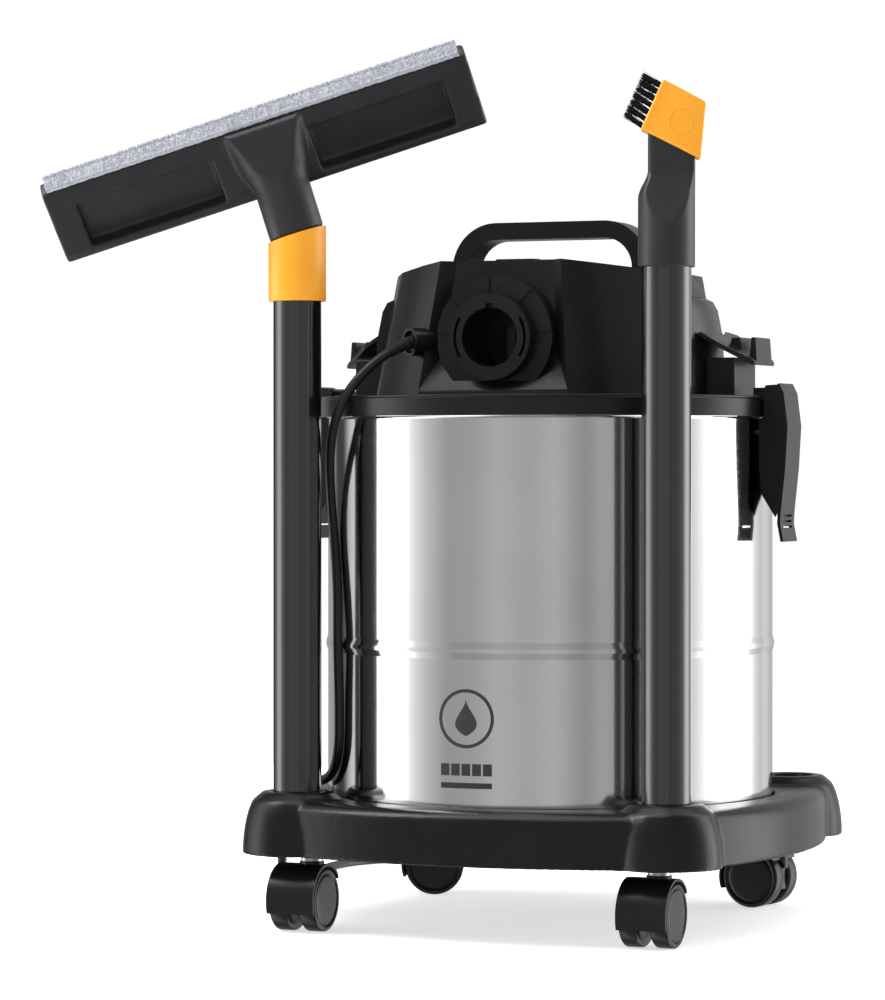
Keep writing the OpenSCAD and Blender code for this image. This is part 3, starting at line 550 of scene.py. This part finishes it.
def nozzle_strips():
    """A wide strip of pale bristles along the front side and a low one under the rear edge."""
    rng = random.Random(4)
    roots = []
    half = 157.0
    on_top, in_front, behind = 3600, 5600, 2600

    def strand(root, lean, height):
        roots.append((SOLE @ (MM * root), SOLE @ (MM * (root + lean + Vector((0, 0, height))))))

    for _ in range(on_top):
        root = Vector((rng.uniform(-half, half), rng.uniform(31.2, 34.2), 5.5))
        strand(root, Vector((rng.gauss(0, 0.9), rng.gauss(0.2, 0.4), 0)), 4.6 * rng.uniform(0.75, 1.12))
    for _ in range(in_front):
        root = Vector((rng.uniform(-half, half), 34.0, rng.uniform(-6.5, 5)))
        strand(root, Vector((rng.gauss(0, 0.7), rng.uniform(0.2, 0.7), 0)), 4.5 * rng.uniform(0.6, 1.0))
    for _ in range(behind):
        root = Vector((rng.uniform(-half, half), rng.uniform(-30, -25), 8.6))
        strand(root, Vector((rng.gauss(0, 0.9), rng.gauss(0, 0.7), 0)), 5.0 * rng.uniform(0.75, 1.08))
    bristles("nozzle_strips", roots, 0.3 * MM, "floor_nozzle", FELT, ("nozzle_bristles",))

    verts, faces = [], []
    steps = 160
    section = ((31.1, -6.5), (33.6, -6.5), (34.2, -5.6), (34.3, 5.0), (33.6, 6.4), (31.1, 6.4))
    corners = len(section)
    for k in range(steps + 1):
        u = -half + 2 * half * k / steps
        for y, z in section:
            verts.append(SOLE @ (MM * Vector((u, y + rng.uniform(-0.15, 0.15), z + rng.uniform(-0.3, 0.3)))))
    for k in range(steps):
        here, ahead = corners * k, corners * (k + 1)
        for i in range(corners):
            j = (i + 1) % corners
            faces.append((here + i, ahead + i, ahead + j, here + j))
    last = corners * steps
    faces += [tuple(range(corners)), tuple(reversed(range(last, last + corners)))]
    add_mesh("nozzle_strip_core", verts, faces, "floor_nozzle", FELT)


nozzle_strips()


# ---------------------------------------------------------------- crevice tool and dusting brush

RIGHT_WAND = Matrix.Translation((WAND, -WAND, 0)) @ Matrix.Rotation(WAND_TURN, 4, "Z")
# The corners of the brush block in the wand's frame: the tufts' face first, then the far side
BLOCK_LOW = (Vector((-18.3, 0, 571.9)), Vector((23.5, 0, 550.7)))
BLOCK_HIGH = (Vector((-2.7, 0, 606.9)), Vector((27.3, 0, 590.7)))


def brush_tufts():
    """Three rows of black tufts that stand out of the brush head's slanted face."""
    rng = random.Random(7)
    roots = []
    low, high = BLOCK_LOW[0], BLOCK_HIGH[0]
    along = (high - low).normalized()
    out = Vector((-along.z, 0, along.x))
    rows, tufts, strands = 3, 7, 34
    for row in range(rows):
        for k in range(tufts):
            centre = low + along * (3.0 + 5.2 * k) + Vector((0, -6.2 + 6.2 * row, 0))
            for _ in range(strands):
                a, r = rng.uniform(0, 2 * math.pi), 1.5 * math.sqrt(rng.random())
                root = centre + along * (r * math.cos(a)) + Vector((0, r * math.sin(a), 0)) - out * 1.0
                tip = root + out * (15.5 * rng.uniform(0.88, 1.04))
                tip = tip + along * (rng.gauss(1.9, 1.0) + 0.4 * (3 - k)) + Vector((0, rng.gauss(0, 0.6), 0))
                roots.append((RIGHT_WAND @ (MM * root), RIGHT_WAND @ (MM * tip)))
    bristles("brush_tufts", roots, 0.26 * MM, "dust_brush", BRISTLE, ("brush_bristles",))


brush_tufts()


def signed_power(value, power):
    return math.copysign(abs(value) ** power, value)


def crevice_tool():
    """The collar over the wand, scooped in front, and the slim blade that it flattens into."""
    sides = 96
    bore_r, collar_r, blade_x, half_w, half_t = 17.62, 20.0, 3.5, 16.5, 8.0

    def ring(z, flatten, inset=0.0):
        """One section: a circle that turns into a rounded rectangle, cut by the scoop's sloping plane."""
        scoop = -20.3 + 12.4 * min(1.0, max(0.0, (z - 505.0) / 36.0))
        row = []
        for k in range(sides):
            a = 2 * math.pi * k / sides
            c, d = math.cos(a), math.sin(a)
            x = (1 - flatten) * collar_r * c + flatten * (blade_x + half_w * signed_power(c, 0.32))
            y = (1 - flatten) * collar_r * d + flatten * half_t * signed_power(d, 0.32)
            y = max(y, scoop) if flatten < 1 else y
            row.append((x - inset * signed_power(c, 0.3), y - inset * signed_power(d, 0.3), z))
        return row

    def hole(z, r):
        angles = [2 * math.pi * k / sides for k in range(sides)]
        return [(r * math.cos(a), r * math.sin(a), z) for a in angles]

    rows = [hole(506, 0.5), hole(506, bore_r), hole(476.6, bore_r), hole(476.0, bore_r + 0.5)]
    rows += [ring(476.0, 0.0, 0.5), ring(476.6, 0.0)]
    rows += [ring(z, 0.0) for z in range(480, 524, 2)]
    for k in range(12):
        t = k / 11
        rows.append(ring(524 + 20 * t, t * t * (3 - 2 * t)))
    rows += [ring(560, 1.0), ring(575.5, 1.0), ring(576.0, 1.0, 0.5)]
    rows += [ring(576.0, 1.0, 2.4), ring(556.0, 1.0, 2.4)]
    verts = [RIGHT_WAND @ (MM * Vector(p)) for row in rows for p in row]
    piece = add_mesh("crevice_nozzle", verts, stacked_faces(len(rows), sides), "crevice", CHARCOAL,
        ("crevice_tool",))
    piece.data.set_sharp_from_angle(angle=math.radians(32))


crevice_tool()


def brush_block():
    """The brush's slanted block: thinner by the tufts, with a sloping step across both faces."""
    stops = [(0.0, 9.8), (0.20, 9.8), (0.36, 11.5), (1.0, 11.5)]
    low, high = BLOCK_LOW, BLOCK_HIGH
    verts, faces = [], []
    for s, half in stops:
        for t in (0.0, 1.0):
            point = low[0].lerp(low[1], s).lerp(high[0].lerp(high[1], s), t)
            verts += [point + Vector((0, -half, 0)), point + Vector((0, half, 0))]
    for k in range(len(stops) - 1):
        i, j = 4 * k, 4 * k + 4
        faces += [(i, j, j + 2, i + 2), (i + 1, i + 3, j + 3, j + 1)]
        faces += [(i, i + 1, j + 1, j), (i + 2, j + 2, j + 3, i + 3)]
    last = len(verts)
    faces += [(0, 2, 3, 1), (last - 4, last - 3, last - 1, last - 2)]
    verts = [RIGHT_WAND @ (MM * v) for v in verts]
    piece = add_mesh("brush_block", verts, faces, "dust_brush", AMBER, ("brush_head",))
    bevel = piece.modifiers.new("bevel", "BEVEL")
    bevel.width, bevel.segments, bevel.limit_method = 1.8 * MM, 4, "ANGLE"
    bevel.angle_limit = math.radians(40)
    bevel.harden_normals = True
    place = RIGHT_WAND @ Matrix.Translation(MM * Vector((9.5, -11.5, 577.0))) @ rotation(90, "X")
    verts, faces = lathe_mesh([(7.6, -0.2), (7.8, 0.12), (8.3, 0.2), (8.8, 0.12), (9.0, -0.2)], 64, place)
    add_mesh("brush_ring", verts, faces, "dust_brush", AMBER)


brush_block()


# ---------------------------------------------------------------- caster wheels

def wheel_profile():
    """A twin-wheel caster's disc, as (radius, distance from the middle), with a rim ring and a domed hub."""
    wheel_r = 23.0
    tread = [(wheel_r - 2.6 * (1 - math.cos(a)), 7.0 - 2.6 * math.sin(a)) for a in (1.4, 1.0, 0.6, 0.2)]
    face = [(wheel_r - 2.0 * (1 - math.cos(a)), 16.3 + 2.0 * math.sin(a)) for a in (0.2, 0.6, 1.0, 1.4)]
    dome = [(18.2 * math.cos(a) ** 0.6, 17.7 + 0.8 * math.sin(a)) for a in (0.0, 0.3, 0.7, 1.1, 1.4)]
    groove = [(20.6, 18.3), (19.6, 18.2), (19.3, 17.2), (18.4, 17.1)]
    return [(3.1, 4.3), (19.8, 4.3), *tread, *face, *groove, *dome,
        (1.0, 18.5), (0.05, 18.5), (0.05, 17.0), (3.1, 16.5)]


def make_wheels():
    joints = {j["name"]: j for j in frame["record"]["behaviour"]["joints"]}
    for corner in CORNERS:
        for side, sign in (("left", -1), ("right", 1)):
            joint = joints[f"wheel_{corner}_{side}_roll"]
            axis = sign * Vector(joint["axis"]).normalized()
            place = Matrix.Translation(joint["pos_m"]) @ axis.to_track_quat("Z", "Y").to_matrix().to_4x4()
            verts, faces = lathe_mesh(wheel_profile(), 72, place)
            add_mesh(f"caster_disc_{corner}_{side}", verts, faces, f"wheel_{corner}_{side[0]}", BLACK,
                (f"wheel_{corner}_{side}",))


make_wheels()


# ---------------------------------------------------------------- filter

def pleated_filter():
    """The sleeve around the filter cage, folded into pleats between two plain hems."""
    verts = []
    steps, pleats, inner, outer, fold = 480, 60, 62.15, 66.4, 1.5
    heights = [258, 260, 264, 268] + [268 + 6 * k for k in range(1, 15)] + [356, 360, 364, 370, 372]
    for k in range(steps):
        a = 2 * math.pi * k / steps
        for z in heights:
            hem = min(1.0, max(0.0, (z - 260) / 8), max(0.0, (361 - z) / 8))
            r = outer + fold * hem * math.cos(pleats * a)
            verts.append(MM * Vector((r * math.cos(a), r * math.sin(a), z)))
        for z in heights[::-1]:
            verts.append(MM * Vector((inner * math.cos(a), inner * math.sin(a), z)))
    faces = turned_faces(steps, 2 * len(heights))
    add_mesh("pleated_sleeve", verts, faces, "head", CLOTH, ("filter_sleeve",))


pleated_filter()


# ---------------------------------------------------------------- printed mark

MARK_R = 165.65                    # just proud of the drum's sheet


def on_drum(s, z):
    """The point on the drum's front at arc distance s and height z, in mm."""
    a = s / MARK_R
    return MM * Vector((MARK_R * math.sin(a), -MARK_R * math.cos(a), z))


def printed_mark():
    """A plain pictogram: a drop in a ring over a row of blocks and a line."""
    verts, faces = [], []

    def patch(corners, steps=8):
        """A four-sided patch between two edges, cut into strips so that it follows the drum."""
        (a, b), (c, d) = corners
        base = len(verts)
        for k in range(steps + 1):
            t = k / steps
            for p, q in ((a, b), (c, d)):
                verts.append(on_drum(p[0] + (q[0] - p[0]) * t, p[1] + (q[1] - p[1]) * t))
        for k in range(steps):
            i = base + 2 * k
            faces.append((i, i + 2, i + 3, i + 1))

    def ring(centre, r0, r1, steps=64):
        base = len(verts)
        for k in range(steps):
            a = 2 * math.pi * k / steps
            for r in (r0, r1):
                verts.append(on_drum(r * math.cos(a), centre + r * math.sin(a)))
        for k in range(steps):
            i, j = base + 2 * k, base + 2 * ((k + 1) % steps)
            faces.append((i, i + 1, j + 1, j))

    ring(158.0, 18.6, 21.0)
    slices, drop_foot, drop_height = 24, 145.5, 26.0
    for k in range(slices):
        t0, t1 = k / slices, (k + 1) / slices
        w = [8.2 * math.sin(math.pi * t ** 1.7) ** 0.9 if 0 < t < 1 else 0.0 for t in (1 - t0, 1 - t1)]
        z0, z1 = drop_foot + drop_height * t0, drop_foot + drop_height * t1
        patch((((-w[0], z0), (w[0], z0)), ((-w[1], z1), (w[1], z1))))
    for k in range(5):
        s = -19.5 + 8.1 * k
        patch((((s, 117.5), (s + 6.6, 117.5)), ((s, 126.0), (s + 6.6, 126.0))), 3)
    patch((((-19.5, 108.5), (19.5, 108.5)), ((-19.5, 112.5), (19.5, 112.5))), 16)
    add_mesh("printed_mark", verts, faces, "base", PRINT, smooth=False)


printed_mark()
